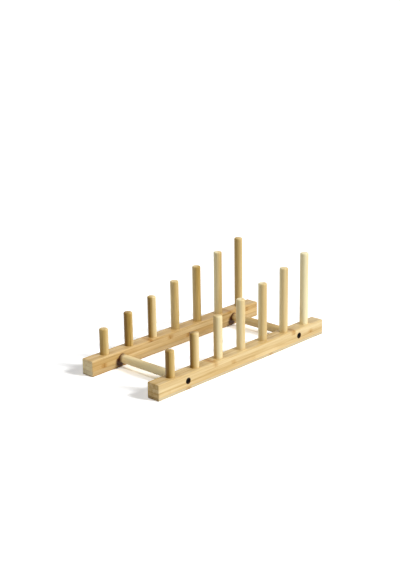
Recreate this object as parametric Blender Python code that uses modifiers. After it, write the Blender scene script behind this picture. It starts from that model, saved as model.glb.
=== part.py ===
"""Bamboo plate rack: two laminated rails, each with a row of seven uprights that rise from
left to right, held apart by two round crossbars that are screwed on through the rails.

Metres, +Z up. +X runs along the rails towards the tallest uprights, and -Y is the front.
The origin is the middle of the footprint, on the surface that the rack stands on.
"""

import math

import bmesh
import bpy
from mathutils import Matrix

MM = 0.001

# Rails
RAIL_LENGTH = 330 * MM
RAIL_WIDTH = 20 * MM
RAIL_HEIGHT = 22 * MM
RAIL_SPACING = 123 * MM  # between the rails' centre lines
RAIL_EDGE_RADIUS = 1.2 * MM

# Uprights, which stand in blind seats in the rails
DOWEL_COUNT = 7
DOWEL_DIAMETER = 12 * MM
DOWEL_END_MARGIN = 31 * MM  # from a rail's end to the first upright's axis
SHORTEST_DOWEL = 36 * MM  # the part that stands above the rail
TALLEST_DOWEL = 104 * MM
DOWEL_SEAT_DEPTH = 14 * MM
DOWEL_TOP_RADIUS = 1.6 * MM
DOWEL_FOOT_CHAMFER = 0.8 * MM

# Crossbars, whose ends stand in shallow sockets in the rails' inner faces
CROSSBAR_DIAMETER = 12 * MM
CROSSBAR_AXIS_HEIGHT = 12 * MM
CROSSBAR_SOCKET_DEPTH = 4 * MM
CROSSBAR_END_CHAMFER = 0.6 * MM
CROSSBAR_PILOT_DEPTH = 28 * MM

# Screws, and the stepped bores that they pass through
SCREW_SHANK_DIAMETER = 4 * MM
SCREW_LENGTH = 36 * MM  # under the head
SCREW_POINT_LENGTH = 4 * MM
SCREW_HEAD_DIAMETER = 7.8 * MM
SCREW_HEAD_HEIGHT = 3 * MM
SCREW_HEAD_RADIUS = 1.1 * MM
SCREW_CROSS_LENGTH = 4.2 * MM
SCREW_CROSS_WIDTH = 1 * MM
SCREW_CROSS_DEPTH = 1.5 * MM
COUNTERBORE_DIAMETER = 8.4 * MM
COUNTERBORE_DEPTH = 4 * MM
SCREW_BORE_CLEARANCE = 0.3 * MM  # round the shank, in the rail

# Gap kept between surfaces that touch on the real rack
SEAT_GAP = 0.3 * MM
CUT_OVERRUN = 1 * MM
MERGE_DISTANCE = 0.01 * MM

# Facets
ROUND_STEPS = 32
SCREW_STEPS = 16
CORNER_STEPS = 3
SHARP_ANGLE = math.radians(35)

# Places that follow from the sizes
DOWEL_PITCH = (RAIL_LENGTH - 2 * DOWEL_END_MARGIN) / (DOWEL_COUNT - 1)
CROSSBAR_FROM_END = DOWEL_END_MARGIN + DOWEL_PITCH / 2
INNER_WIDTH = RAIL_SPACING - RAIL_WIDTH
CROSSBAR_LENGTH = INNER_WIDTH + 2 * (CROSSBAR_SOCKET_DEPTH - SEAT_GAP)
HEAD_SEAT_Y = RAIL_SPACING / 2 + RAIL_WIDTH / 2 - COUNTERBORE_DEPTH + SEAT_GAP

FRONT = -1
BACK = 1
LEFT = -1
RIGHT = 1
SIDE_NAMES = {FRONT: "front", BACK: "back"}
END_NAMES = {LEFT: "left", RIGHT: "right"}


def clear_scene():
    """Remove every object that the scene starts with."""
    for existing in list(bpy.data.objects):
        bpy.data.objects.remove(existing, do_unlink=True)


def new_collection(name):
    collection = bpy.data.collections.new(name)
    bpy.context.scene.collection.children.link(collection)
    return collection


def new_material(name, color, roughness, metallic=0.0):
    material = bpy.data.materials.new(name)
    material.use_nodes = True
    shader = material.node_tree.nodes["Principled BSDF"]
    shader.inputs["Base Color"].default_value = (*color, 1.0)
    shader.inputs["Roughness"].default_value = roughness
    shader.inputs["Metallic"].default_value = metallic
    material.diffuse_color = (*color, 1.0)
    return material


def new_object(name, mesh, collection, material=None, location=(0, 0, 0), rotation=(0, 0, 0)):
    obj = bpy.data.objects.new(name, mesh)
    obj.location = location
    obj.rotation_euler = rotation
    if material and material.name not in mesh.materials:
        mesh.materials.append(material)
    collection.objects.link(obj)
    return obj


def mesh_of(obj):
    """The object's mesh with its modifiers applied, smooth but for its sharp edges."""
    bpy.context.view_layer.update()
    evaluated = obj.evaluated_get(bpy.context.evaluated_depsgraph_get())
    mesh = bpy.data.meshes.new_from_object(evaluated)
    bpy.data.objects.remove(obj, do_unlink=True)
    mesh.shade_smooth()
    mesh.set_sharp_from_angle(angle=SHARP_ANGLE)
    return mesh


def turned_mesh(name, outline, steps):
    """Turn an outline of (radius, height) points, from top to bottom, round the Z axis."""
    profile = bpy.data.meshes.new(name)
    points = [(radius, 0, height) for radius, height in outline]
    profile.from_pydata(points, [(i, i + 1) for i in range(len(points) - 1)], [])
    blank = new_object(name, profile, bpy.context.scene.collection)
    screw = blank.modifiers.new("turn", "SCREW")
    screw.axis = "Z"
    screw.steps = steps
    screw.render_steps = steps
    screw.use_merge_vertices = True
    screw.merge_threshold = MERGE_DISTANCE
    mesh = mesh_of(blank)
    mesh.name = name
    return mesh


def rounded_corner(radius, height, corner):
    """Points of an outer corner's quarter arc, from the level top round to the side."""
    angles = [math.pi / 2 * step / CORNER_STEPS for step in range(CORNER_STEPS + 1)]
    return [
        (radius - corner + corner * math.sin(angle), height - corner + corner * math.cos(angle))
        for angle in angles
    ]


def box_mesh(name, length, width, height):
    """A box centred on its origin, made from a unit cube."""
    mesh = bpy.data.meshes.new(name)
    shape = bmesh.new()
    bmesh.ops.create_cube(shape, size=1, matrix=Matrix.Diagonal((length, width, height, 1)))
    shape.to_mesh(mesh)
    shape.free()
    return mesh


def cut(obj, cutter):
    boolean = obj.modifiers.new(cutter.name, "BOOLEAN")
    boolean.operation = "DIFFERENCE"
    boolean.solver = "EXACT"
    boolean.object = cutter


def new_cutter(name, mesh, location, rotation=(0, 0, 0)):
    cutter = new_object(name, mesh, cutters, location=location, rotation=rotation)
    cutter.hide_render = True
    cutter.display_type = "WIRE"
    return cutter


def outward(side):
    """Rotation that turns local +Z to face away from the rack's middle, on that side."""
    return (-side * math.pi / 2, 0, 0)


def dowel_x(index):
    """Place along the rail of an upright's axis, counted from 0 at the left."""
    return -RAIL_LENGTH / 2 + DOWEL_END_MARGIN + index * DOWEL_PITCH


def crossbar_x(end):
    return end * (RAIL_LENGTH / 2 - CROSSBAR_FROM_END)


def dowel_height(index):
    """Height above the rail of an upright, in even steps from the shortest to the tallest."""
    rise = (TALLEST_DOWEL - SHORTEST_DOWEL) / (DOWEL_COUNT - 1)
    return SHORTEST_DOWEL + index * rise


def dowel_mesh(index):
    """An upright with a rounded top and a chamfered foot, its origin at the foot."""
    radius = DOWEL_DIAMETER / 2
    length = DOWEL_SEAT_DEPTH - SEAT_GAP + dowel_height(index)
    outline = [(0, length)]
    outline += rounded_corner(radius, length, DOWEL_TOP_RADIUS)
    outline += [(radius, DOWEL_FOOT_CHAMFER), (radius - DOWEL_FOOT_CHAMFER, 0), (0, 0)]
    return turned_mesh(f"dowel_{index + 1}", outline, ROUND_STEPS)


def crossbar_mesh():
    """A round bar along Z with a chamfer and a blind pilot hole at each end."""
    radius = CROSSBAR_DIAMETER / 2
    end = CROSSBAR_LENGTH / 2
    chamfer = CROSSBAR_END_CHAMFER
    pilot = SCREW_SHANK_DIAMETER / 2 + SEAT_GAP
    floor = end - CROSSBAR_PILOT_DEPTH
    upper = [(0, floor), (pilot, floor), (pilot, end), (radius - chamfer, end), (radius, end - chamfer)]
    lower = [(across, -up) for across, up in reversed(upper)]
    return turned_mesh("crossbar", upper + lower, ROUND_STEPS)


def screw_mesh():
    """A pan-head wood screw along Z, its origin under the head and its cross recess cut in."""
    shank = SCREW_SHANK_DIAMETER / 2
    outline = [(0, SCREW_HEAD_HEIGHT)]
    outline += rounded_corner(SCREW_HEAD_DIAMETER / 2, SCREW_HEAD_HEIGHT, SCREW_HEAD_RADIUS)
    outline += [(SCREW_HEAD_DIAMETER / 2, 0), (shank, 0)]
    outline += [(shank, SCREW_POINT_LENGTH - SCREW_LENGTH), (0, -SCREW_LENGTH)]
    blank = new_object("screw", turned_mesh("screw", outline, SCREW_STEPS), bpy.context.scene.collection)
    depth = SCREW_CROSS_DEPTH + CUT_OVERRUN
    middle = SCREW_HEAD_HEIGHT - SCREW_CROSS_DEPTH + depth / 2
    slots = []
    for name, turn in (("screw_slot_a", 0), ("screw_slot_b", math.pi / 2)):
        slot = box_mesh(name, SCREW_CROSS_LENGTH, SCREW_CROSS_WIDTH, depth)
        slots.append(new_cutter(name, slot, (0, 0, middle), (0, 0, turn)))
    for slot in slots:
        cut(blank, slot)
    mesh = mesh_of(blank)
    for slot in slots:
        bpy.data.objects.remove(slot, do_unlink=True)
    return mesh


def seat_cutter_mesh():
    """The blind seat of an upright, its origin on the rail's top face."""
    radius = DOWEL_DIAMETER / 2 + SEAT_GAP
    outline = [(0, CUT_OVERRUN), (radius, CUT_OVERRUN), (radius, -DOWEL_SEAT_DEPTH), (0, -DOWEL_SEAT_DEPTH)]
    return turned_mesh("dowel_seat", outline, ROUND_STEPS)


def stepped_bore_mesh():
    """The screw's path through a rail: counterbore, clearance bore and crossbar socket.

    Its origin is on the rail's outer face, with local +Z pointing out of that face.
    """
    head = COUNTERBORE_DIAMETER / 2
    shank = SCREW_SHANK_DIAMETER / 2 + SCREW_BORE_CLEARANCE
    socket = CROSSBAR_DIAMETER / 2 + SEAT_GAP
    socket_floor = CROSSBAR_SOCKET_DEPTH - RAIL_WIDTH
    bottom = -RAIL_WIDTH - CUT_OVERRUN
    outline = [
        (0, CUT_OVERRUN),
        (head, CUT_OVERRUN),
        (head, -COUNTERBORE_DEPTH),
        (shank, -COUNTERBORE_DEPTH),
        (shank, socket_floor),
        (socket, socket_floor),
        (socket, bottom),
        (0, bottom),
    ]
    return turned_mesh("stepped_bore", outline, ROUND_STEPS)


def make_rail(side):
    """A laminated rail with eased edges, its upright seats and its two stepped bores."""
    name = f"{SIDE_NAMES[side]}_rail"
    centre_y = side * RAIL_SPACING / 2
    mesh = box_mesh(name, RAIL_LENGTH, RAIL_WIDTH, RAIL_HEIGHT)
    rail = new_object(name, mesh, rack, rail_bamboo, (0, centre_y, RAIL_HEIGHT / 2))
    bevel = rail.modifiers.new("eased edges", "BEVEL")
    bevel.width = RAIL_EDGE_RADIUS
    bevel.segments = CORNER_STEPS
    for index in range(DOWEL_COUNT):
        place = (dowel_x(index), centre_y, RAIL_HEIGHT)
        cut(rail, new_cutter(f"{name}_seat_{index + 1}", seat_cutter, place))
    for end in (LEFT, RIGHT):
        place = (crossbar_x(end), centre_y + side * RAIL_WIDTH / 2, CROSSBAR_AXIS_HEIGHT)
        cut(rail, new_cutter(f"{name}_{END_NAMES[end]}_bore", stepped_bore, place, outward(side)))


def make_dowels():
    """Both rows of uprights. The two of each height share a mesh."""
    foot = RAIL_HEIGHT - DOWEL_SEAT_DEPTH + SEAT_GAP
    for index in range(DOWEL_COUNT):
        mesh = dowel_mesh(index)
        for side in (FRONT, BACK):
            name = f"{SIDE_NAMES[side]}_dowel_{index + 1}"
            new_object(name, mesh, rack, dowel_bamboo, (dowel_x(index), side * RAIL_SPACING / 2, foot))


def make_crossbars():
    mesh = crossbar_mesh()
    for end in (LEFT, RIGHT):
        place = (crossbar_x(end), 0, CROSSBAR_AXIS_HEIGHT)
        new_object(f"{END_NAMES[end]}_crossbar", mesh, rack, dowel_bamboo, place, outward(BACK))


def make_screws():
    """A screw for each end of each crossbar, seated on its counterbore's floor."""
    mesh = screw_mesh()
    for side in (FRONT, BACK):
        for end in (LEFT, RIGHT):
            name = f"{SIDE_NAMES[side]}_{END_NAMES[end]}_screw"
            place = (crossbar_x(end), side * HEAD_SEAT_Y, CROSSBAR_AXIS_HEIGHT)
            new_object(name, mesh, rack, screw_steel, place, outward(side))


clear_scene()
rack = new_collection("bamboo_plate_rack")
cutters = new_collection("cutters")
rail_bamboo = new_material("laminated_bamboo", (0.62, 0.45, 0.22), 0.5)
dowel_bamboo = new_material("turned_bamboo", (0.68, 0.50, 0.26), 0.45)
screw_steel = new_material("black_oxide_steel", (0.03, 0.025, 0.02), 0.45, 0.9)
seat_cutter = seat_cutter_mesh()
stepped_bore = stepped_bore_mesh()
for rail_side in (FRONT, BACK):
    make_rail(rail_side)
make_dowels()
make_crossbars()
make_screws()
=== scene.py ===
"""Bamboo plate rack, as it looks: two laminated bamboo rails, fourteen turned uprights, two
round crossbars, and the four blackened screws that hold the rails to the crossbars.

Metres, +Z up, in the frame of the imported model. Every finished piece is a surface worked
out with numpy, on the place and size of the node that it stands for.
"""

import math

import bmesh
import bpy
import numpy as np
from mathutils import Matrix, Vector


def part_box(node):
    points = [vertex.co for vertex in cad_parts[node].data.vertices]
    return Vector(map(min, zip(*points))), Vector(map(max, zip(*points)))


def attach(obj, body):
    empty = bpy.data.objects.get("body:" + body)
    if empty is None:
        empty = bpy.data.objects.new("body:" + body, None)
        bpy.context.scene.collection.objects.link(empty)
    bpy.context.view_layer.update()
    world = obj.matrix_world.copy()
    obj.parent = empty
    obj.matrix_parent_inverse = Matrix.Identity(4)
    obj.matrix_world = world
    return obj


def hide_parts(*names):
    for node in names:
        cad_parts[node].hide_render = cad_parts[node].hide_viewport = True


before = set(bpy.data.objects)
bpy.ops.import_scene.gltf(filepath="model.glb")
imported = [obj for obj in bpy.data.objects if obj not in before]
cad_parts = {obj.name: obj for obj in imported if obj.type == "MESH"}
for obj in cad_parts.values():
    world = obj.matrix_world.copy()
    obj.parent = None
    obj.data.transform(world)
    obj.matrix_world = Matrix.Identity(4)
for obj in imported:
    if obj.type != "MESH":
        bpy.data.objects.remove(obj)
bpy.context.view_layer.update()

MM = 0.001

# Camera, found from the rails' and uprights' perspective
CAMERA_PLACE = (-1.1115, -1.0486, 0.5813)
CAMERA_HEADING = math.radians(-46.34)
CAMERA_TILT = math.radians(17.54)
CAMERA_ROLL = math.radians(-0.90)
CAMERA_LENS = 74.84  # mm, for a long side of 36 mm

# Studio: a soft key light from the front right, a soft box overhead, and a pale sky
FLOOR_SIZE = 40.0
KEY_AZIMUTH = math.radians(-65)  # where the lamp stands, from +X towards +Y
KEY_HEIGHT = math.radians(33)
KEY_STRENGTH = 2.95
KEY_SPREAD = math.radians(18)
TOP_AZIMUTH = math.radians(180)
TOP_HEIGHT = math.radians(77)
TOP_STRENGTH = 1.05
TOP_SPREAD = math.radians(18)
SKY_STRENGTH = 0.06
SKY_LIGHT_COLOR = "#ffffff"
SKY_SEEN_COLOR = "#fbfbfb"
FLOOR_LEVEL = 0.8  # what the floor gives back of the light on it
FLOOR_SEEN_LEVEL = 1.55  # the same as the camera sees it
FLOOR_MIRRORED_LEVEL = 1.2  # the same as glossy surfaces mirror it

# Rails
RAIL_EDGE_RADIUS = 1.15 * MM
RAIL_EDGE_WEAR = 0.25 * MM
RAIL_WEAR_LENGTHS = np.array([210, 83, 37]) * MM
RAIL_EDGE_HOLD = 0.4 * MM
RAIL_EDGE_STEPS = 5
STATION_SPACING = 5 * MM
CELL_HALF_LENGTH = 8 * MM
CELL_STEPS = 26
RIM_CHAMFER = 0.2 * MM
SEAT_DIAMETER = 12.3 * MM
SEAT_DEPTH = 14 * MM
COUNTERBORE_DIAMETER = 8.4 * MM
COUNTERBORE_DEPTH = 4 * MM
CLEARANCE_DIAMETER = 4.6 * MM
SOCKET_DIAMETER = 12.3 * MM
SOCKET_DEPTH = 4 * MM

# Turned stock, of which the uprights and the crossbars are cut
STOCK_AROUND = 96
STOCK_RING_SPACING = 4 * MM
RIDGE_DEPTH = 0.06 * MM
RIDGE_COUNTS = np.array([2, 5, 11, 19, 31])  # waves round the stock
RIDGE_TWIST = 6  # at most, in radians a metre
UPRIGHT_TOP_RADIUS = 1.6 * MM
UPRIGHT_CROWN = 0.2 * MM
UPRIGHT_FOOT_CHAMFER = 0.8 * MM
CORNER_STEPS = 6
CROSSBAR_CHAMFER = 0.6 * MM
PILOT_DIAMETER = 4.6 * MM
PILOT_DEPTH = 28 * MM

# Screws
SCREW_QUARTER_STEPS = 11
SCREW_NECK_LENGTH = 9 * MM
SCREW_NECK_DIAMETER = 3.2 * MM
THREAD_CREST_DIAMETER = 4 * MM
THREAD_CORE_DIAMETER = 2.7 * MM
THREAD_PITCH = 1.8 * MM
THREAD_RING_SPACING = 0.25 * MM
THREAD_WIDTH_SHARE = 0.34
SCREW_POINT_LENGTH = 5 * MM
SCREW_HEAD_HEIGHT = 3 * MM
SCREW_HEAD_CORNER = 1.1 * MM
SCREW_HEAD_CROWN = 0.25 * MM
CROSS_LENGTH = 4.2 * MM
CROSS_WIDTH = 1.0 * MM
CROSS_DEPTH = 1.6 * MM
CROSS_RISE_SHARE = 1 / 3  # how much shallower the recess is at its arms' tips
CROSS_WALL = 0.06 * MM
CROSS_WALL_LIMIT = 0.08  # the most that it spans round the head, in radians
CROSS_HUB_RING = 1.2  # the ring of points just outside the hub, in hub radii

MERGE_DISTANCE = 0.002 * MM
SHARP_ANGLE = math.radians(35)

UPRIGHT_COUNT = 7
SIDES = {"front": -1, "back": 1}  # which way each rail lies along Y
ENDS = ("left", "right")

# Tone of each upright, from 0, palest, to 1, deepest, left to right, with how much deeper its
# skin side is, and the azimuth in degrees that its skin side faces. That one-sided deepening is
# partly the culm's own tone and partly painted shade: on some uprights it deepens the flank
# turned from the key lamp, on others the lit flank, to set how strongly each looks shaded
UPRIGHT_TONES = {
    "front": (
        (0.80, 0.40, 155),
        (0.90, 0.65, 110),
        (0.50, 0.30, 75),
        (0.15, 0.20, 265),
        (0.20, 0.35, 265),
        (0.20, 0.25, 280),
        (0.00, 0.35, -25),
    ),
    "back": (
        (0.60, 0.20, 160),
        (0.85, 0.25, 135),
        (0.45, 0.50, 160),
        (0.45, 0.15, 270),
        (0.50, 0.30, 285),
        (0.20, 0.55, -55),
        (0.60, 0.15, 120),
    ),
}
# The same for the crossbars, with the angle from +X towards +Z. Their skin side faces up and
# towards +X, the key lamp's side, so their shaded lower side towards -X is painted paler: painted
# light
CROSSBAR_TONES = {"left": (0.00, 0.15, 30), "right": (0.40, 0.10, 30)}
CROSSBAR_WARMTH = 0.4

# Each rail: its lowest glue line, then for each lamella from the bottom its tone, how much
# deeper its skin face is, the tone of its ends and how grey it is; how warm the rail's bamboo
# is, and where a knuckle lies in its lowest lamella. The greyness of the lowest lamellas, and
# the deeper tone at the bottom of each rail's ends, are painted shade next to the floor
RAILS = {
    "front": {
        "glue": 3.9 * MM,
        "lamellas": (
            (0.20, 0.05, 0.70, 1.0),
            (0.50, 0.10, 0.65, 0.0),
            (0.50, 0.15, 0.55, 0.0),
            (0.45, 0.15, 0.60, 0.0),
        ),
        "warmth": 0.0,
        "knuckle": 50 * MM,
    },
    "back": {
        "glue": 1.5 * MM,
        "lamellas": (
            (0.60, 0.10, 0.50, 0.8),
            (0.55, 0.10, 0.00, 0.5),
            (0.55, 0.10, 0.00, 0.0),
            (0.60, 0.10, 0.10, 0.0),
            (0.60, 0.00, 0.25, 0.0),
        ),
        "warmth": 0.3,
        "knuckle": 91 * MM,
    },
}

# Bamboo, whose colour runs from palest to deepest as the depth runs from 0 to 1, and what the
# colour is multiplied by where the bamboo is warm, where it is grey, which is painted shade next
# to the floor, and where other shade is painted on it
TURNED_COLORS = ((0.0, "#fff3c6"), (0.4, "#e6cc92"), (0.8, "#be9c50"), (1.0, "#8f6a1c"))
LAMINATED_COLORS = ((0.0, "#fff4cb"), (0.4, "#e4cb97"), (0.8, "#c19b56"), (1.0, "#936a2f"))
WARM_FILTER = "#f0d8b0"
GREY_FILTER = "#dbdadf"
PAINTED_SHADE_FILTER = "#6a4429"
SIDE_ROUGHNESS = 0.42
END_ROUGHNESS = 0.67
STREAK_ROUGHNESS = 0.12  # added on broad streaks
SATIN_LACQUER = {"IOR": 1.5, "Specular IOR Level": 0.35, "Coat Weight": 0.08, "Coat Roughness": 0.3}

# Bundles of fibres, drawn about twice as coarse as real ones, so that they show
BUNDLE_SIZE = (46 * MM, 1.2 * MM)  # along the fibres and across them
BUNDLE_EDGE = (0.38, 0.16)  # shares of its size, where it starts and where it is full
BUNDLE_DEPTH = 0.22  # added to the colour's depth
BUNDLE_SINK = -0.6  # its height in the relief, where a fine streak's is 1
RELIEF_HEIGHT = 0.05 * MM
RELIEF_STRENGTH = 0.25

# Other figure: its length along an axis, its width across it, and how many finer layers of
# noise it has, with what it adds to the colour's depth. The streaks follow the fibres, and are
# also drawn about twice as coarse
BROAD_STREAK = (150 * MM, 4.2 * MM, 2.0)
BROAD_STREAK_DEPTH = 0.3
FINE_STREAK = (38 * MM, 0.7 * MM, 3.0)
FINE_STREAK_DEPTH = 0.22
TONE_DRIFT = (1000 * MM, 120 * MM, 0.0)
TONE_DRIFT_DEPTH = 0.16
KNUCKLE_BLOTCH = (30 * MM, 30 * MM, 0.0)
KNUCKLE_BLOTCH_EDGE = (-0.35, 0.3)
WAVE = (5 * MM, 5 * MM, 1.0)
# The stain named below is the painted shade where the crossbars meet the rails
WAVE_SWAY = 2.5 * MM  # how far a wave moves the edge of a knuckle or a stain

# How densely the fibres lie: on turned stock by its colour's depth, from none to all, and on
# laminated stock from a strip's inner side, with what its skin side and end grain add
TURNED_DENSITY_EDGE = (-0.2, 1.2)
INNER_DENSITY = 0.3
SKIN_DENSITY_GAIN = 0.6
END_DENSITY_GAIN = 0.4

# Laminated stock
LAMELLA_HEIGHT = 6 * MM
LAMELLA_SHIFT = (731 * MM, 53.3 * MM)  # in the culm, from one lamella to the next
SKIN_TONE_EDGE = (0.55, 1.0)  # shares of the way to its skin side
END_FIGURE_SHARE = 0.6  # of the sides' figure
GLUE_LINE = 0.25 * MM  # how far it shows on each side
GLUE_LINE_END_GAIN = 0.48 * MM  # how much further it shows in end grain
GLUE_LINE_DEPTH = 0.16
END_GRAIN_START = 0.5 * MM  # from the rail's end
END_GRAIN_FULL = 0.2 * MM

# Knuckles, where a culm's fibres cross: a reddened band with a thin line in its middle
KNUCKLE_SPACING = 161 * MM
KNUCKLE_STEP = 37 * MM  # from one lamella to the next
KNUCKLE_BAND = (7 * MM, 1 * MM)  # from its middle, where it starts and where it is full
KNUCKLE_BAND_DEPTH = 0.14
KNUCKLE_LINE = (0.9 * MM, 0.2 * MM)
KNUCKLE_LINE_DEPTH = 0.18
KNUCKLE_REDNESS = 0.7  # of the way from the rail's own warmth to the full one

# Painted shade where the crossbars meet the rails: the crossbars' shadow and the shaded corner
# painted on the rails' inner faces, left of and below each socket, and the shaded root of each
# crossbar
CORNER_SHADE_SPREAD = (10 * MM, 5 * MM)  # from its middle, where it starts and where it is full
CORNER_SHADE_LEFT = 3.5 * MM  # how far its middle lies to the left of the socket's
CORNER_SHADE_BELOW = 4 * MM
CORNER_SHADE_DEPTH = (1 * MM, 0.3 * MM)  # behind the rail's inner face, where it starts and is full
# How far the painted shade reaches along each crossbar from the rail's inner face
BAR_ROOT_SHADE_LENGTH = 8 * MM

# Blackened steel, from its dark to its pale blotches
STEEL_BLOTCH = (1.2 * MM, 1.2 * MM, 2.0)
STEEL_BLOTCH_EDGE = (-0.5, 0.5)
STEEL_COLORS = ("#0b0603", "#140c07")
STEEL_ROUGHNESS = 0.45
PALE_STEEL_ROUGHNESS = 0.6
OILED_OXIDE = {"Metallic": 0.6, "Specular IOR Level": 0.2}

# A Map Range node's smooth rise from 0, at its second value, to 1, at its third
SMOOTH = {"interpolation_type": "SMOOTHSTEP"}


def add_camera():
    """Camera at the photograph's viewing angle: tipped and rolled, then turned to its heading."""
    data = bpy.data.cameras.new("camera")
    data.lens = CAMERA_LENS
    data.clip_end = 2 * FLOOR_SIZE
    camera = bpy.data.objects.new("camera", data)
    bpy.context.scene.collection.objects.link(camera)
    turn = Matrix.Rotation(CAMERA_HEADING, 4, "Z")
    tip = Matrix.Rotation(math.pi / 2 - CAMERA_TILT, 4, "X")
    roll = Matrix.Rotation(CAMERA_ROLL, 4, "Z")
    camera.matrix_world = Matrix.Translation(CAMERA_PLACE) @ turn @ tip @ roll
    bpy.context.scene.camera = camera


def linear(hex_color):
    """An sRGB colour written as #rrggbb, as linear red, green, blue and alpha."""
    values = np.array([int(hex_color[i : i + 2], 16) for i in (1, 3, 5)]) / 255
    values = np.where(values <= 0.04045, values / 12.92, ((values + 0.055) / 1.055) ** 2.4)
    return (*values.tolist(), 1.0)


def add(tree, kind, *values, named=None, **settings):
    """Add a node with its settings. The values go to its live inputs in turn, and the named
    ones to the inputs of those names. A value is a number, a colour, a socket that feeds the
    input, or a node, whose first live output feeds it."""
    node = tree.nodes.new("ShaderNode" + kind)
    for name, setting in settings.items():
        setattr(node, name, setting)
    live = [socket for socket in node.inputs if socket.enabled]
    pairs = list(zip(live, values))
    pairs += [(node.inputs[name], value) for name, value in (named or {}).items()]
    for socket, value in pairs:
        if isinstance(value, bpy.types.Node):
            value = next(output for output in value.outputs if output.enabled)
        if isinstance(value, bpy.types.NodeSocket):
            tree.links.new(value, socket)
        else:
            socket.default_value = value
    return node


def new_material(name):
    """An empty material, and its node tree."""
    material = bpy.data.materials.new(name)
    material.use_nodes = True
    material.node_tree.nodes.clear()
    return material, material.node_tree


def studio_floor_material():
    """Matt pale floor. The camera and mirroring surfaces see it brighter than it is, so that
    it is white where a lamp reaches it, and keeps its deeper shadows."""
    material, tree = new_material("matt_white_floor")
    ray = add(tree, "LightPath").outputs
    seen_levels = {"Is Camera Ray": FLOOR_SEEN_LEVEL, "Is Glossy Ray": FLOOR_MIRRORED_LEVEL}
    level = FLOOR_LEVEL
    for kind, seen_level in seen_levels.items():
        gain = seen_level - FLOOR_LEVEL
        level = add(tree, "Math", ray[kind], gain, level, operation="MULTIPLY_ADD")
    diffuse = add(tree, "BsdfDiffuse", add(tree, "CombineColor", level, level, level))
    add(tree, "OutputMaterial", diffuse)
    return material


def add_lamp(name, azimuth, height, strength, spread):
    """A distant lamp of that width, standing at that azimuth and height."""
    light = bpy.data.lights.new(name, "SUN")
    light.energy = strength
    light.angle = spread
    lamp = bpy.data.objects.new(name, light)
    bpy.context.scene.collection.objects.link(lamp)
    level = math.cos(height)
    towards = Vector((math.cos(azimuth) * level, math.sin(azimuth) * level, math.sin(height)))
    lamp.rotation_euler = towards.to_track_quat("Z", "Y").to_euler()


def add_studio():
    """Pale floor, the two lamps, and faint even light from all round, which the camera and
    mirroring surfaces see as near white."""
    mesh = bpy.data.meshes.new("floor")
    half = FLOOR_SIZE / 2
    corners = [(-half, -half, 0), (half, -half, 0), (half, half, 0), (-half, half, 0)]
    mesh.from_pydata(corners, [], [(0, 1, 2, 3)])
    mesh.materials.append(studio_floor_material())
    floor = bpy.data.objects.new("floor", mesh)
    bpy.context.scene.collection.objects.link(floor)
    add_lamp("key", KEY_AZIMUTH, KEY_HEIGHT, KEY_STRENGTH, KEY_SPREAD)
    add_lamp("soft_box", TOP_AZIMUTH, TOP_HEIGHT, TOP_STRENGTH, TOP_SPREAD)

    world = bpy.data.worlds.new("studio")
    bpy.context.scene.world = world
    world.use_nodes = True
    tree = world.node_tree
    tree.nodes.clear()
    lit = add(tree, "Background", linear(SKY_LIGHT_COLOR), SKY_STRENGTH)
    pale = add(tree, "Background", linear(SKY_SEEN_COLOR), 1.0)
    ray = add(tree, "LightPath").outputs
    seen = add(tree, "Math", ray["Is Camera Ray"], ray["Is Glossy Ray"], operation="MAXIMUM")
    add(tree, "OutputWorld", add(tree, "MixShader", seen, lit, pale))


def grid_faces(rows, columns):
    """Quads between neighbouring rows of points, each row closed from its end to its start."""
    here = np.arange(rows * columns).reshape(rows, columns)
    after = np.roll(here, -1, axis=1)
    return np.stack([here[:-1], after[:-1], after[1:], here[1:]], axis=-1)


def new_piece(name, points, faces, material, node):
    """A closed smooth-shaded piece that rides on the rack and stands for the node."""
    mesh = bpy.data.meshes.new(name)
    mesh.from_pydata(points.tolist(), [], faces)
    shape = bmesh.new()
    shape.from_mesh(mesh)
    bmesh.ops.remove_doubles(shape, verts=shape.verts[:], dist=MERGE_DISTANCE)
    bmesh.ops.dissolve_degenerate(shape, edges=shape.edges[:], dist=MERGE_DISTANCE)
    bmesh.ops.recalc_face_normals(shape, faces=shape.faces[:])
    shape.to_mesh(mesh)
    shape.free()
    mesh.shade_smooth()
    mesh.set_sharp_from_angle(angle=SHARP_ANGLE)
    mesh.materials.append(material)
    piece = bpy.data.objects.new(name, mesh)
    bpy.context.scene.collection.objects.link(piece)
    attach(piece, "root")
    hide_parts(node)
    return piece


def set_tone(piece, centre, axis, tone, difference, facing):
    """Keep the depth of the piece's colour on its mesh, where the material reads it. It grows
    evenly across the piece, from the culm's inner side to its skin side, and so also paints shade
    and light on the piece's flanks."""
    place = np.empty(3 * len(piece.data.vertices), np.float32)
    piece.data.vertices.foreach_get("co", place)
    first, second = (part for part in range(3) if part != axis)
    angle = math.radians(facing)
    offset = place.reshape(-1, 3) - centre
    across = offset[:, first] * math.cos(angle) + offset[:, second] * math.sin(angle)
    depth = tone + difference * across / np.abs(across).max()
    attribute = piece.data.attributes.new("depth", "FLOAT", "POINT")
    attribute.data.foreach_set("value", depth.astype(np.float32))


def ridges(angle, height, rng):
    """Depth of the shallow lengthwise ridges of turned bamboo: the mean of raised cosines
    of the angle, each with a whole number of waves round and a slow twist along."""
    phase = rng.uniform(0, 2 * math.pi, len(RIDGE_COUNTS))
    twist = rng.uniform(-RIDGE_TWIST, RIDGE_TWIST, len(RIDGE_COUNTS))
    turn = angle[..., None] * RIDGE_COUNTS + phase + height[..., None] * twist
    return RIDGE_DEPTH * (1 + np.cos(turn)).mean(axis=-1) / 2


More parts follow.
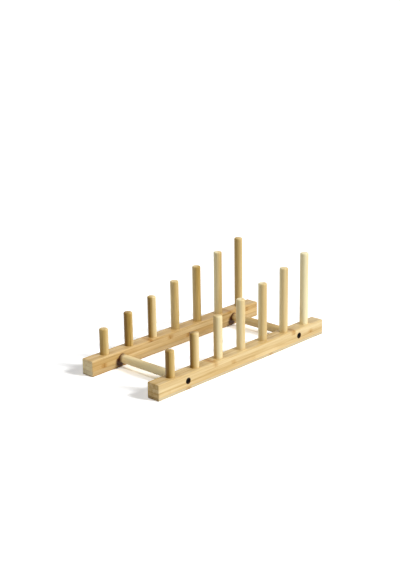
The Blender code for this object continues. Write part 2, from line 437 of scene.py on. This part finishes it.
def turned_surface(profile, rng):
    """Points (r cos a, r sin a, z) on rings round +Z. Each row of the profile is a ring's
    radius, height, and 1 where the ridges show or 0 where they don't."""
    radius, height, ridged = (column[:, None] for column in np.array(profile).T)
    angle = np.linspace(0, 2 * math.pi, STOCK_AROUND, endpoint=False)[None, :]
    angle, height = np.broadcast_arrays(angle, height)
    reach = np.maximum(radius - ridged * ridges(angle, height, rng), 0)
    points = np.stack([reach * np.cos(angle), reach * np.sin(angle), height], axis=-1)
    return points.reshape(-1, 3), grid_faces(len(profile), STOCK_AROUND).reshape(-1, 4).tolist()


def straight_run(radius, bottom, top):
    """Profile rows at even steps up a straight side, without its ends."""
    steps = max(2, round((top - bottom) / STOCK_RING_SPACING))
    return [(radius, height, 1) for height in np.linspace(bottom, top, steps + 1)[1:-1]]


def upright_profile(radius, foot, top):
    """Chamfered foot, straight side, rounded shoulder, and a slightly crowned top."""
    corner = UPRIGHT_TOP_RADIUS
    flat = radius - corner
    shoulder = top - UPRIGHT_CROWN - corner
    side = foot + UPRIGHT_FOOT_CHAMFER
    rows = [(0, foot, 0), (radius - UPRIGHT_FOOT_CHAMFER, foot, 0), (radius, side, 1)]
    rows += straight_run(radius, side, shoulder)
    for angle in np.linspace(0, math.pi / 2, CORNER_STEPS + 1):
        rows.append((flat + corner * math.cos(angle), shoulder + corner * math.sin(angle), 1))
    for share in np.linspace(1, 0, CORNER_STEPS)[1:]:
        rows.append((flat * share, top - UPRIGHT_CROWN * share**2, 0))
    return rows


def crossbar_profile(radius, end):
    """A straight bar, chamfered at both ends, with a blind pilot hole in each."""
    pilot = PILOT_DIAMETER / 2
    bottom = end - PILOT_DEPTH
    mouth = [(0, bottom, 0), (pilot, bottom, 0), (pilot, end, 0), (radius - CROSSBAR_CHAMFER, end, 0)]
    shoulder = (radius, end - CROSSBAR_CHAMFER, 1)
    near = [(across, -along, ridged) for across, along, ridged in [*mouth, shoulder]]
    run = straight_run(radius, -shoulder[1], shoulder[1])
    return near + run + [shoulder] + mouth[::-1]


def make_uprights(material):
    """The uprights of both rails, each with its own ridges and tone."""
    for side in SIDES:
        for index in range(UPRIGHT_COUNT):
            node = f"{side}_dowel_{index + 1}"
            low, high = (np.array(corner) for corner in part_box(node))
            rng = np.random.default_rng([UPRIGHT_COUNT * (side == "back") + index, 1])
            radius = (high[0] - low[0]) / 2
            points, faces = turned_surface(upright_profile(radius, low[2], high[2]), rng)
            points[:, :2] += (low[:2] + high[:2]) / 2
            name = f"{side}_upright_{index + 1}"
            piece = new_piece(name, points, faces, material, node)
            set_tone(piece, (low + high) / 2, 2, *UPRIGHT_TONES[side][index])


def make_crossbars(material):
    """The bars lie along Y: the turned surface's height becomes the place along the bar."""
    for number, end in enumerate(ENDS):
        node = f"{end}_crossbar"
        low, high = (np.array(corner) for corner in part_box(node))
        rng = np.random.default_rng([number, 2])
        points, faces = turned_surface(crossbar_profile((high[0] - low[0]) / 2, high[1]), rng)
        points = points[:, [0, 2, 1]] + (low + high) / 2
        piece = new_piece(f"{end}_round_bar", points, faces, material, node)
        set_tone(piece, (low + high) / 2, 1, *CROSSBAR_TONES[end])


def rail_stations(length, holes):
    """Places of the rail's sections along it: CELL_STEPS even steps over each hole, and about
    one for each STATION_SPACING between. Returns them with each hole's first station."""
    ends = length / 2 - RAIL_EDGE_RADIUS
    stations = np.array([-ends])
    starts = []
    for stop in [*holes, None]:
        target = ends if stop is None else stop - CELL_HALF_LENGTH
        steps = max(1, round((target - stations[-1]) / STATION_SPACING))
        stations = np.append(stations, np.linspace(stations[-1], target, steps + 1)[1:])
        if stop is not None:
            starts.append(len(stations) - 1)
            over = np.linspace(target, target + 2 * CELL_HALF_LENGTH, CELL_STEPS + 1)
            stations = np.append(stations, over[1:])
    return stations, starts


def edge_wear(stations, rng):
    """Extra rounding of the four long edges: a mean of raised cosines along each of them."""
    phase = rng.uniform(0, 2 * math.pi, (4, len(RAIL_WEAR_LENGTHS)))
    wave = np.cos(2 * math.pi * stations[:, None, None] / RAIL_WEAR_LENGTHS + phase).mean(axis=-1)
    return RAIL_EDGE_WEAR * (1 + wave) / 2


def rail_rings(length, width, height, stations, rng):
    """Rounded rectangles carried along the rail, as (x, across, up). Round each corner centre
    c a ring's points are c + r (cos a, sin a), with one point held on the flat beyond each end
    of the arc. Past the last station r shrinks as cos t while the ring moves out as sin t,
    which rounds the rail's ends, and one more ring holds the end face flat. Returns them with
    the number of rings before the first station."""
    lean = np.linspace(0, math.pi / 2, RAIL_EDGE_STEPS + 1)[1:]
    reach = length / 2 - RAIL_EDGE_RADIUS + RAIL_EDGE_RADIUS * np.sin(lean)
    place = np.concatenate([-reach[::-1], stations, reach])
    shrink = np.concatenate([np.cos(lean[::-1]), np.ones(len(stations)), np.cos(lean)])
    inset = RAIL_EDGE_RADIUS + edge_wear(place.clip(stations[0], stations[-1]), rng)
    corners = np.array([(1, 1), (-1, 1), (-1, -1), (1, -1)])
    centre = corners * (np.array([width, height]) / 2 - inset[..., None])
    arc = np.linspace(0, math.pi / 2, RAIL_EDGE_STEPS + 1)
    angle = np.arange(4)[:, None] * math.pi / 2 + np.concatenate([arc[:1], arc, arc[-1:]])
    hold = RAIL_EDGE_HOLD * np.concatenate([[-1], np.zeros(len(arc)), [1]])
    ray = np.stack([np.cos(angle), np.sin(angle)], axis=-1)
    beyond = np.stack([-np.sin(angle), np.cos(angle)], axis=-1) * hold[:, None]
    radius = inset * shrink[:, None]
    section = centre[:, :, None] + radius[..., None, None] * ray + beyond
    face = (centre - corners * RAIL_EDGE_HOLD)[[0, -1], :, None]
    face = np.broadcast_to(face, (2, *section.shape[1:]))
    section = np.concatenate([face[:1], section, face[1:]]).reshape(len(place) + 2, -1, 2)
    place = np.concatenate([place[:1], place, place[-1:]])
    along = np.broadcast_to(place[:, None, None], (*section.shape[:2], 1))
    return np.concatenate([along, section], axis=-1), len(lean) + 1


def seat_profile():
    """Radius and depth down a blind seat, from its chamfered rim to the middle of its floor."""
    seat = SEAT_DIAMETER / 2
    return [(seat + RIM_CHAMFER, 0), (seat, RIM_CHAMFER), (seat, SEAT_DEPTH), (0, SEAT_DEPTH)]


def bore_profile(width):
    """Radius and depth through the rail: the counterbore for the screw's head, the clearance
    hole for its shank, and the socket for the crossbar's end."""
    head = COUNTERBORE_DIAMETER / 2
    shank = CLEARANCE_DIAMETER / 2
    socket = SOCKET_DIAMETER / 2
    return [
        (head + RIM_CHAMFER, 0),
        (head, RIM_CHAMFER),
        (head, COUNTERBORE_DEPTH),
        (shank, COUNTERBORE_DEPTH),
        (shank, width - SOCKET_DEPTH),
        (socket, width - SOCKET_DEPTH),
        (socket, width - RIM_CHAMFER),
        (socket + RIM_CHAMFER, width),
    ]


def hole_points(mouth, inward, across, profile):
    """Rings round a hole: mouth + depth * inward + radius * (cos a * x + sin a * across). The
    first half turn runs along the side that across points away from."""
    radius, depth = (column[:, None, None] for column in np.array(profile).T)
    angle = (math.pi + math.pi * np.arange(2 * CELL_STEPS) / CELL_STEPS)[None, :, None]
    round_axis = np.cos(angle) * np.array([1, 0, 0]) + np.sin(angle) * np.array(across)
    return np.array(mouth) + depth * np.array(inward) + radius * round_axis


def close_cell(edge, other_edge, rim, other_rim):
    """Faces from both edges of a flat to the half of the hole's rim that lies nearest."""
    faces = []
    for outer, inner in ((edge, rim), (other_edge, other_rim)):
        faces += np.stack([outer[:-1], outer[1:], inner[1:], inner[:-1]], axis=-1).tolist()
    faces += [(edge[end], rim[end], other_edge[end]) for end in (0, -1)]
    return faces


def rail_surface(length, width, height, seats, bores, bore_height, rng):
    """A rail with blind seats in its top and stepped bores right through its sides, in its
    own frame: x along it, y away from the rack's middle, z up, origin at its centre. Each
    hole takes the place of the flat's faces over one cell of stations."""
    holes = sorted([(x, False) for x in seats] + [(x, True) for x in bores])
    stations, starts = rail_stations(length, [x for x, _ in holes])
    rings, first_row = rail_rings(length, width, height, stations, rng)
    rows, columns = rings.shape[:2]
    index = np.arange(rows * columns).reshape(rows, columns)
    corner = columns // 4
    top, inner, outer = corner - 1, 2 * corner - 1, columns - 1
    quads = grid_faces(rows, columns)
    kept = np.ones(quads.shape[:2], bool)
    faces = [index[0, ::corner].tolist(), index[-1, ::corner].tolist()]
    points = [rings.reshape(-1, 3)]
    count = rows * columns
    for (x, through), start in zip(holes, starts):
        cell = slice(first_row + start, first_row + start + CELL_STEPS + 1)
        if through:
            hole = hole_points((x, width / 2, bore_height), (0, -1, 0), (0, 0, 1), bore_profile(width))
        else:
            hole = hole_points((x, 0, height / 2), (0, 0, -1), (0, -1, 0), seat_profile())
        wall = count + np.arange(hole.shape[0] * hole.shape[1]).reshape(hole.shape[:2])
        faces += (count + grid_faces(*hole.shape[:2])).reshape(-1, 4).tolist()
        ahead = wall[:, : CELL_STEPS + 1]
        behind = np.concatenate([wall[:, :1], wall[:, :CELL_STEPS - 1:-1]], axis=1)
        if through:
            openings = [(outer, ahead[0], behind[0]), (inner, behind[-1], ahead[-1])]
        else:
            openings = [(top, ahead[0], behind[0])]
        for flat, rim, other_rim in openings:
            kept[cell.start : cell.stop - 1, flat] = False
            faces += close_cell(index[cell, flat], index[cell, (flat + 1) % columns], rim, other_rim)
        points.append(hole.reshape(-1, 3))
        count += hole.shape[0] * hole.shape[1]
    faces += quads[kept].tolist()
    return np.concatenate(points), faces


def make_rails(materials):
    """Both rails, with their holes where the uprights and crossbars stand."""
    for number, (side, sign) in enumerate(SIDES.items()):
        node = f"{side}_rail"
        low, high = (np.array(corner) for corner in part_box(node))
        length, width, height = high - low
        uprights = [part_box(f"{side}_dowel_{index + 1}") for index in range(UPRIGHT_COUNT)]
        seats = [(start.x + stop.x) / 2 for start, stop in uprights]
        bars = [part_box(f"{end}_crossbar") for end in ENDS]
        bores = [(start.x + stop.x) / 2 for start, stop in bars]
        bore_height = (bars[0][0].z + bars[0][1].z - low[2] - high[2]) / 2
        rng = np.random.default_rng([number, 3])
        points, faces = rail_surface(length, width, height, seats, bores, bore_height, rng)
        points[:, 1] *= sign
        points += (low + high) / 2
        name = f"{side}_laminated_rail"
        new_piece(name, points, faces, materials[side], node)


def head_angles(radius):
    """Angles round a screw's head at each radius, in quarters. They crowd on both sides of the
    recess's walls, which lie at a = asin(half width / radius) from each arm's middle."""
    wall = np.minimum(CROSS_WALL / radius, CROSS_WALL_LIMIT)
    edge = np.minimum(np.arcsin(np.minimum(CROSS_WIDTH / 2 / radius, 1)), math.pi / 4 - 2 * wall)
    near = [np.zeros_like(edge), edge / 2, edge - wall, edge + wall]
    far = [math.pi / 2 - edge - wall, math.pi / 2 - edge + wall, math.pi / 2 - edge / 2]
    steps = SCREW_QUARTER_STEPS - len(near) - len(far)
    shares = np.linspace(0, 1, steps + 2)[1:-1]
    between = [near[-1] + (far[0] - near[-1]) * share for share in shares]
    quarter = np.stack(near + between + far, axis=-1)
    turns = np.arange(4)[:, None] * math.pi / 2
    return (quarter[:, None, :] + turns[None]).reshape(len(radius), -1)


def screw_thread(length):
    """Height, radius and angle of the points on the thread's rings. The radius is the core's
    plus a ridge where z / pitch - a / 2 pi lies halfway between whole numbers, and both
    taper to the point."""
    even = np.linspace(0, 2 * math.pi, 4 * SCREW_QUARTER_STEPS, endpoint=False)
    height = np.arange(-length, -SCREW_NECK_LENGTH, THREAD_RING_SPACING)[:, None]
    phase = (height / THREAD_PITCH - even / (2 * math.pi)) % 1
    ridge = np.maximum(0, 1 - np.abs(phase - 0.5) / THREAD_WIDTH_SHARE)
    core, crest = THREAD_CORE_DIAMETER / 2, THREAD_CREST_DIAMETER / 2
    taper = np.minimum(1, (height + length) / SCREW_POINT_LENGTH)
    return np.broadcast_arrays(height, taper * (core + (crest - core) * ridge), even)


def screw_neck():
    """The same for the plain neck under the head."""
    even = np.linspace(0, 2 * math.pi, 4 * SCREW_QUARTER_STEPS, endpoint=False)
    return np.broadcast_arrays(np.array([[-SCREW_NECK_LENGTH], [0]]), SCREW_NECK_DIAMETER / 2, even)


def screw_head(radius):
    """The same for the head, from its underside over its round corner to the middle of the
    crowned top, whose height falls as the radius squared. Inside the arms and the hub the top
    is sunk by the recess's depth, less towards the arms' tips."""
    flat = radius - SCREW_HEAD_CORNER
    shoulder = SCREW_HEAD_HEIGHT - SCREW_HEAD_CROWN - SCREW_HEAD_CORNER
    arc = np.linspace(0, math.pi / 2, CORNER_STEPS + 1)
    arm = CROSS_LENGTH / 2
    hub = CROSS_WIDTH / math.sqrt(2)
    inward = [(flat + arm) / 2, arm + CROSS_WALL, arm - CROSS_WALL, (arm + hub) / 2]
    inward = np.array([*inward, hub * CROSS_HUB_RING, hub, hub / 2, CROSS_WALL])
    reach = np.concatenate([[radius], flat + SCREW_HEAD_CORNER * np.cos(arc), inward])[:, None]
    crown = SCREW_HEAD_HEIGHT - SCREW_HEAD_CROWN * (inward / flat) ** 2
    level = np.concatenate([[0], shoulder + SCREW_HEAD_CORNER * np.sin(arc), crown])[:, None]
    # The first three stations of each quarter and its last two lie in an arm
    station = np.arange(4 * SCREW_QUARTER_STEPS) % SCREW_QUARTER_STEPS
    in_arm = (station < 3) | (station > SCREW_QUARTER_STEPS - 3)
    sunk = (reach < arm) & (in_arm | (reach <= hub))
    level = level - sunk * CROSS_DEPTH * (1 - reach / arm * CROSS_RISE_SHARE)
    return np.broadcast_arrays(level, reach, head_angles(reach[:, 0]))


def screw_surface(radius, length):
    """A pan-head wood screw along Z, its origin under the head, as points (r cos a, r sin a, z)
    on rings from its point to the middle of its head."""
    rows = zip(screw_thread(length), screw_neck(), screw_head(radius))
    height, reach, angle = (np.concatenate(parts) for parts in rows)
    points = np.stack([reach * np.cos(angle), reach * np.sin(angle), height], axis=-1)
    faces = grid_faces(*height.shape).reshape(-1, 4).tolist()
    faces.append(list(range(height.size - height.shape[1], height.size)))
    return points.reshape(-1, 3), faces


def make_screws(material):
    """The screws lie along Y, their heads outwards and their points in the crossbars."""
    for side, sign in SIDES.items():
        for end in ENDS:
            node = f"{side}_{end}_screw"
            low, high = (np.array(corner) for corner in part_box(node))
            length = high[1] - low[1] - SCREW_HEAD_HEIGHT
            points, faces = screw_surface((high[0] - low[0]) / 2, length)
            under_head = max(sign * low[1], sign * high[1]) - SCREW_HEAD_HEIGHT
            middle = (low + high) / 2
            along = sign * (under_head + points[:, 2])
            points = np.stack([middle[0] + points[:, 0], along, middle[2] + points[:, 1]], axis=-1)
            name = f"{side}_{end}_wood_screw"
            new_piece(name, points, faces, material, node)


def per_metre(axis, length, width):
    """How many lengths, along that axis, and how many widths, across it, make a metre."""
    return [1 / (length if name == axis else width) for name in "XYZ"]


def mottle(tree, place, axis, figure):
    """Soft noise about zero, mostly within 0.5 of it, as fine as that figure."""
    length, width, layers = figure
    scale = per_metre(axis, length, width)
    scaled = add(tree, "VectorMath", place, scale, operation="MULTIPLY")
    texture = add(tree, "TexNoise", named={"Vector": scaled, "Scale": 1.0, "Detail": layers})
    return add(tree, "Math", texture, 2.0, -1.0, operation="MULTIPLY_ADD")


def finish_bamboo(tree, colors, place, axis, depth, density, roughness, filters):
    """Sanded bamboo under clear satin lacquer, which shows its fibres as flecks with a soft
    shine. Its colour runs from pale straw to caramel as the depth grows. The place is that in
    the culm, the axis is the fibres', and each filter is a strength and a colour."""
    # Bundles of fibres: dark dots in end grain, long flecks along the sides
    scale = per_metre(axis, *BUNDLE_SIZE)
    scaled = add(tree, "VectorMath", place, scale, operation="MULTIPLY")
    cells = add(tree, "TexVoronoi", named={"Vector": scaled, "Scale": 1.0})
    bundle = add(tree, "MapRange", cells, *BUNDLE_EDGE, **SMOOTH)
    bundle = add(tree, "Math", bundle, density, operation="MULTIPLY")
    broad = mottle(tree, place, axis, BROAD_STREAK)
    fine = mottle(tree, place, axis, FINE_STREAK)
    depth = add(tree, "Math", broad, BROAD_STREAK_DEPTH, depth, operation="MULTIPLY_ADD")
    depth = add(tree, "Math", fine, FINE_STREAK_DEPTH, depth, operation="MULTIPLY_ADD")
    depth = add(tree, "Math", bundle, BUNDLE_DEPTH, depth, operation="MULTIPLY_ADD")

    color = add(tree, "ValToRGB", depth)
    stops = color.color_ramp.elements
    for position, _ in colors[1:-1]:
        stops.new(position)
    for stop, (position, hex_color) in zip(stops, colors):
        stop.position = position
        stop.color = linear(hex_color)
    for strength, hex_color in filters:
        color = add(
            tree, "Mix", strength, color, linear(hex_color), data_type="RGBA", blend_type="MULTIPLY"
        )

    relief = add(tree, "Math", bundle, BUNDLE_SINK, fine, operation="MULTIPLY_ADD")
    raised = {"Height": relief, "Strength": RELIEF_STRENGTH, "Distance": RELIEF_HEIGHT}
    bump = add(tree, "Bump", named=raised)
    gloss = add(tree, "Math", broad, STREAK_ROUGHNESS, roughness, operation="MULTIPLY_ADD")
    lacquered = {"Base Color": color, "Roughness": gloss, "Normal": bump, **SATIN_LACQUER}
    add(tree, "OutputMaterial", add(tree, "BsdfPrincipled", named=lacquered))


def turned_bamboo(name, axis, warmth=None, shaded_root_at=None):
    """Rod turned from one culm wall: its tone deepens towards the skin side, where its fibres
    lie closer, and that one-sided tone also paints shade and light on the rod. On a rod along Y,
    painted shade darkens the last stretch before the rail's inner face, and what is hidden past it."""
    material, tree = new_material(name)
    place = add(tree, "TexCoord").outputs["Object"]
    depth = add(tree, "Attribute", attribute_name="depth").outputs["Fac"]
    density = add(tree, "MapRange", depth, *TURNED_DENSITY_EDGE, **SMOOTH)
    filters = []
    if warmth is not None:
        filters.append((warmth, WARM_FILTER))
    if shaded_root_at is not None:
        # Painted shade on the crossbar's root: darker over the last stretch before the rail's inner
        # face
        out = add(tree, "SeparateXYZ", place).outputs["Y"]
        out = add(tree, "Math", out, operation="ABSOLUTE")
        wave = mottle(tree, place, axis, WAVE)
        out = add(tree, "Math", wave, WAVE_SWAY, out, operation="MULTIPLY_ADD")
        painted_shade = add(tree, "MapRange", out, shaded_root_at - BAR_ROOT_SHADE_LENGTH, shaded_root_at, **SMOOTH)
        filters.append((painted_shade, PAINTED_SHADE_FILTER))
    finish_bamboo(tree, TURNED_COLORS, place, axis, depth, density, SIDE_ROUGHNESS, filters)
    return material


def strip_values(tree, lamella, lamellas):
    """Each lamella's tone, skin depth, end tone and greyness, held by a stepped colour ramp."""
    share = add(tree, "Math", lamella, len(lamellas), operation="DIVIDE")
    ramp = add(tree, "ValToRGB", share)
    ramp.color_ramp.interpolation = "CONSTANT"
    stops = ramp.color_ramp.elements
    for _ in range(len(lamellas) - len(stops)):
        stops.new(0.5)
    for number, (stop, values) in enumerate(zip(stops, lamellas)):
        stop.position = max(0, (number - 0.5) / len(lamellas))
        stop.color = values
    return [*add(tree, "SeparateColor", ramp).outputs, ramp.outputs["Alpha"]]


def knuckles(tree, parts, culm, lamella, wave, knuckle):
    """Strength of each lamella's knuckles: of the blotchy bands, and of the thin wavy lines."""
    along = add(tree, "Math", lamella, KNUCKLE_STEP, parts["X"], operation="MULTIPLY_ADD")
    along = add(tree, "Math", along, knuckle, operation="SUBTRACT")
    along = add(tree, "Math", wave, WAVE_SWAY, along, operation="MULTIPLY_ADD")
    away = add(tree, "Math", along, KNUCKLE_SPACING / 2, operation="PINGPONG")
    blotch = mottle(tree, culm, "Z", KNUCKLE_BLOTCH)
    blotch = add(tree, "MapRange", blotch, *KNUCKLE_BLOTCH_EDGE, **SMOOTH)
    strengths = []
    for edges in (KNUCKLE_BAND, KNUCKLE_LINE):
        strength = add(tree, "MapRange", away, *edges, **SMOOTH)
        strengths.append(add(tree, "Math", strength, blotch, operation="MULTIPLY"))
    return strengths


def from_bars(tree, parts, bar, left, below):
    """Distance, seen along Y, from a point that far left of and below the nearer crossbar's
    axis. The axes lie at plus and minus the bar's x."""
    beside = add(tree, "Math", parts["X"], left, operation="ADD")
    beside = add(tree, "Math", beside, operation="ABSOLUTE")
    beside = add(tree, "Math", beside, bar.x, operation="SUBTRACT")
    above = add(tree, "Math", parts["Z"], bar.z - below, operation="SUBTRACT")
    return add(tree, "VectorMath", add(tree, "CombineXYZ", beside, above), operation="LENGTH")


def rail_painted_shade(tree, parts, wave, inner, bar):
    """Strength of the painted shade on the rail's inner face, to the left of each crossbar's socket
    and below it, where the crossbar's shadow and the shaded corner are painted, or, in the
    screws' bores, of the shade painted there."""
    out = add(tree, "Math", parts["Y"], operation="ABSOLUTE")
    edges = [inner + edge for edge in CORNER_SHADE_DEPTH]
    on_face = add(tree, "MapRange", out, *edges, **SMOOTH)
    reach = from_bars(tree, parts, bar, CORNER_SHADE_LEFT, CORNER_SHADE_BELOW)
    reach = add(tree, "Math", wave, WAVE_SWAY, reach, operation="MULTIPLY_ADD")
    painted_shade = add(tree, "MapRange", reach, *CORNER_SHADE_SPREAD, **SMOOTH)
    painted_shade = add(tree, "Math", painted_shade, on_face, operation="MULTIPLY")
    # Painted shade in the screws' bores, within the counterbore's radius of each crossbar's axis
    bore = COUNTERBORE_DIAMETER / 2
    bore_shade = from_bars(tree, parts, bar, 0, 0)
    bore_shade = add(tree, "MapRange", bore_shade, bore + RIM_CHAMFER, bore, **SMOOTH)
    return add(tree, "Math", painted_shade, bore_shade, operation="MAXIMUM")


def glue_lines(tree, level, count, ends):
    """Strength of the glue lines between that many lamellas, which show wider in end grain."""
    seam = add(tree, "Math", level, operation="ROUND")
    seam = add(tree, "Math", seam, count - 1, operation="MINIMUM")
    away = add(tree, "Math", level, seam, operation="SUBTRACT")
    away = add(tree, "Math", away, operation="ABSOLUTE")
    gain = GLUE_LINE_END_GAIN / LAMELLA_HEIGHT
    reach = add(tree, "Math", ends, gain, GLUE_LINE / LAMELLA_HEIGHT, operation="MULTIPLY_ADD")
    return add(tree, "MapRange", away, reach, 0.0, **SMOOTH)


def laminated_bamboo(name, length, inner, bar, glue, lamellas, warmth, knuckle):
    """Flat strips, the lamellas, glued in a stack, skin face to skin face, which show as pale
    and deeper stripes. Each has its own tone and comes from its own part of a culm. The rail
    is that long, its inner face lies that far out along Y, and one crossbar's axis passes
    through bar."""
    material, tree = new_material(name)
    place = add(tree, "TexCoord").outputs["Object"]
    parts = add(tree, "SeparateXYZ", place).outputs
    level = add(tree, "Math", parts["Z"], glue - LAMELLA_HEIGHT, operation="SUBTRACT")
    level = add(tree, "Math", level, LAMELLA_HEIGHT, operation="DIVIDE")
    lamella = add(tree, "Math", level, operation="FLOOR")
    lamella = add(tree, "Math", lamella, len(lamellas) - 1, operation="MINIMUM")
    shifts = [add(tree, "Math", lamella, shift, operation="MULTIPLY") for shift in LAMELLA_SHIFT]
    culm = add(tree, "VectorMath", place, add(tree, "CombineXYZ", *shifts), operation="ADD")

    # Tone along the sides, deeper at skin faces and knuckles
    tone, skin, end, grey = strip_values(tree, lamella, lamellas)
    skin_side = add(tree, "Math", level, 1.0, operation="SUBTRACT")
    skin_side = add(tree, "Math", skin_side, 1.0, operation="PINGPONG")
    depth = add(tree, "MapRange", skin_side, *SKIN_TONE_EDGE, **SMOOTH)
    depth = add(tree, "Math", depth, skin, tone, operation="MULTIPLY_ADD")
    drift = mottle(tree, culm, "Z", TONE_DRIFT)
    wave = mottle(tree, culm, "Z", WAVE)
    band, line = knuckles(tree, parts, culm, lamella, wave, knuckle)
    depth = add(tree, "Math", drift, TONE_DRIFT_DEPTH, depth, operation="MULTIPLY_ADD")
    depth = add(tree, "Math", band, KNUCKLE_BAND_DEPTH, depth, operation="MULTIPLY_ADD")
    depth = add(tree, "Math", line, KNUCKLE_LINE_DEPTH, depth, operation="MULTIPLY_ADD")

    # End grain has its own tone, less figure, denser fibres and a duller cut
    edges = (length / 2 - END_GRAIN_START, length / 2 - END_GRAIN_FULL)
    ends = add(tree, "Math", parts["X"], operation="ABSOLUTE")
    ends = add(tree, "MapRange", ends, *edges, **SMOOTH)
    end_depth = add(tree, "Math", depth, tone, operation="SUBTRACT")
    end_depth = add(tree, "Math", end_depth, END_FIGURE_SHARE, end, operation="MULTIPLY_ADD")
    depth = add(tree, "Mix", ends, depth, end_depth)
    seam = glue_lines(tree, level, len(lamellas), ends)
    depth = add(tree, "Math", seam, GLUE_LINE_DEPTH, depth, operation="MULTIPLY_ADD")
    density = add(tree, "Math", ends, END_DENSITY_GAIN, INNER_DENSITY, operation="MULTIPLY_ADD")
    density = add(tree, "Math", skin_side, SKIN_DENSITY_GAIN, density, operation="MULTIPLY_ADD")
    gain = END_ROUGHNESS - SIDE_ROUGHNESS
    roughness = add(tree, "Math", ends, gain, SIDE_ROUGHNESS, operation="MULTIPLY_ADD")

    gain = KNUCKLE_REDNESS * (1 - warmth)
    redness = add(tree, "Math", band, gain, warmth, operation="MULTIPLY_ADD")
    # Painted shade: the crossbars' shadow and shaded corner on the inner face, the shaded bores, and,
    # through the greyness, the shade on the lowest lamellas next to the floor
    painted_shade = rail_painted_shade(tree, parts, wave, inner, bar)
    filters = [(redness, WARM_FILTER), (grey, GREY_FILTER), (painted_shade, PAINTED_SHADE_FILTER)]
    finish_bamboo(tree, LAMINATED_COLORS, culm, "X", depth, density, roughness, filters)
    return material


def black_oxide_steel():
    """Blackened steel, oiled: near black, with a dull sheen."""
    material, tree = new_material("black_oxide_steel")
    place = add(tree, "TexCoord").outputs["Object"]
    tone = mottle(tree, place, "Z", STEEL_BLOTCH)
    tone = add(tree, "MapRange", tone, *STEEL_BLOTCH_EDGE, **SMOOTH)
    dark, pale = (linear(hex_color) for hex_color in STEEL_COLORS)
    color = add(tree, "Mix", tone, dark, pale, data_type="RGBA")
    gain = PALE_STEEL_ROUGHNESS - STEEL_ROUGHNESS
    roughness = add(tree, "Math", tone, gain, STEEL_ROUGHNESS, operation="MULTIPLY_ADD")
    oiled = {"Base Color": color, "Roughness": roughness, **OILED_OXIDE}
    add(tree, "OutputMaterial", add(tree, "BsdfPrincipled", named=oiled))
    return material


bpy.context.scene.view_settings.view_transform = "Standard"
add_camera()
add_studio()

rail_low, rail_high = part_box("back_rail")
bar_low, bar_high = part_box("right_crossbar")
rail_length = rail_high.x - rail_low.x
bar_middle = (bar_low + bar_high) / 2
rail_materials = {}
for side, strips in RAILS.items():
    name = f"laminated_bamboo_{side}"
    rail_materials[side] = laminated_bamboo(name, rail_length, rail_low.y, bar_middle, **strips)
make_rails(rail_materials)
make_uprights(turned_bamboo("turned_bamboo_upright", "Z"))
make_crossbars(turned_bamboo("turned_bamboo_level", "Y", CROSSBAR_WARMTH, rail_low.y))
make_screws(black_oxide_steel())
